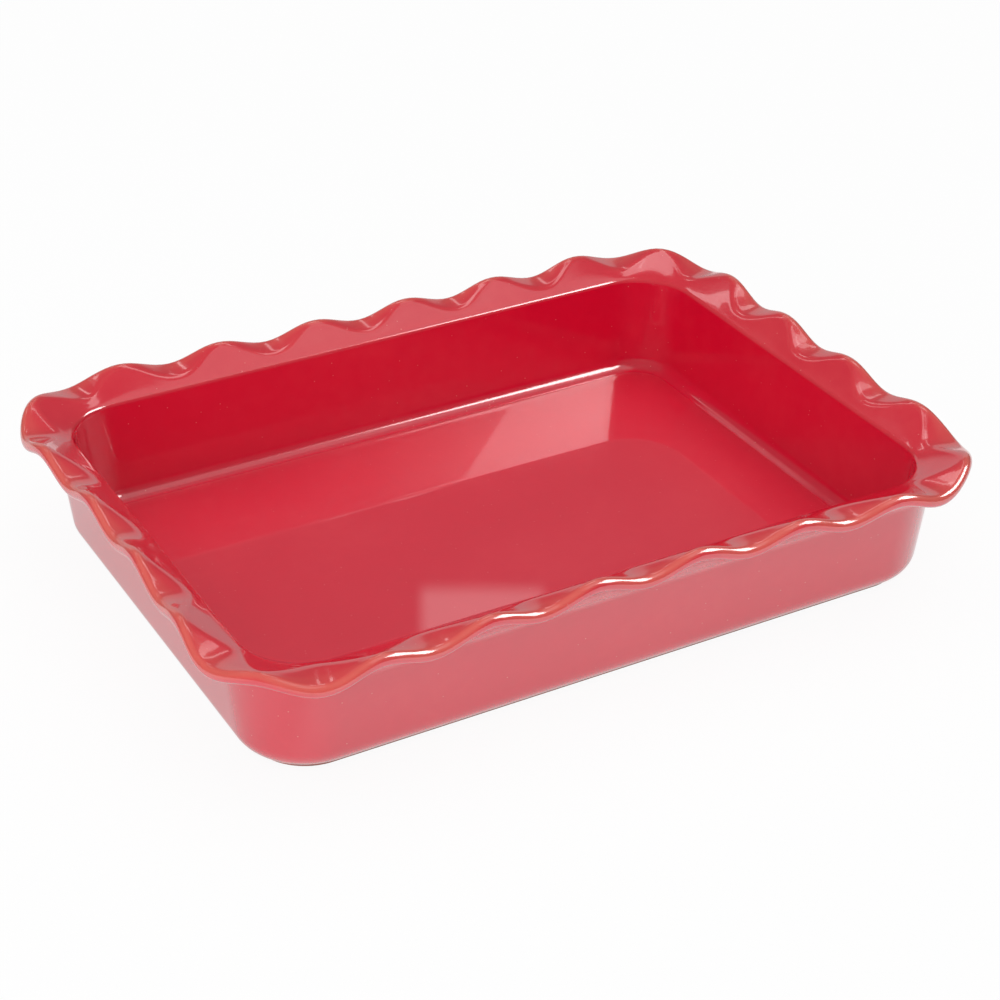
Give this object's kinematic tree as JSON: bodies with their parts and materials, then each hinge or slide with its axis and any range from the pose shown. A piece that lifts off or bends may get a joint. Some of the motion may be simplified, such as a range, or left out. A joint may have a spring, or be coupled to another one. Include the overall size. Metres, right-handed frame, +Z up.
{
  "type": "baking dish",
  "caption": "Rectangular glazed stoneware baking dish with leaning walls, a wide ruffled rim to lift it by, and a bare foot ring to stand on.",
  "frame": {"origin": "on the table under the middle of the dish", "axes": "+Z up, X along the long sides, Y along the short sides"},
  "size_m": [0.3752, 0.2826, 0.066],
  "materials": {
    "bare_clay": "fired pale stoneware, unglazed, matt",
    "red_glaze": "thick glossy red glaze, thinner and warmer on the edges"
  },
  "bodies": {
    "root": {"stoneware_body": "bare_clay", "glaze_coat": "red_glaze", "underside_glaze": "red_glaze"}
  },
  "joints": []
}
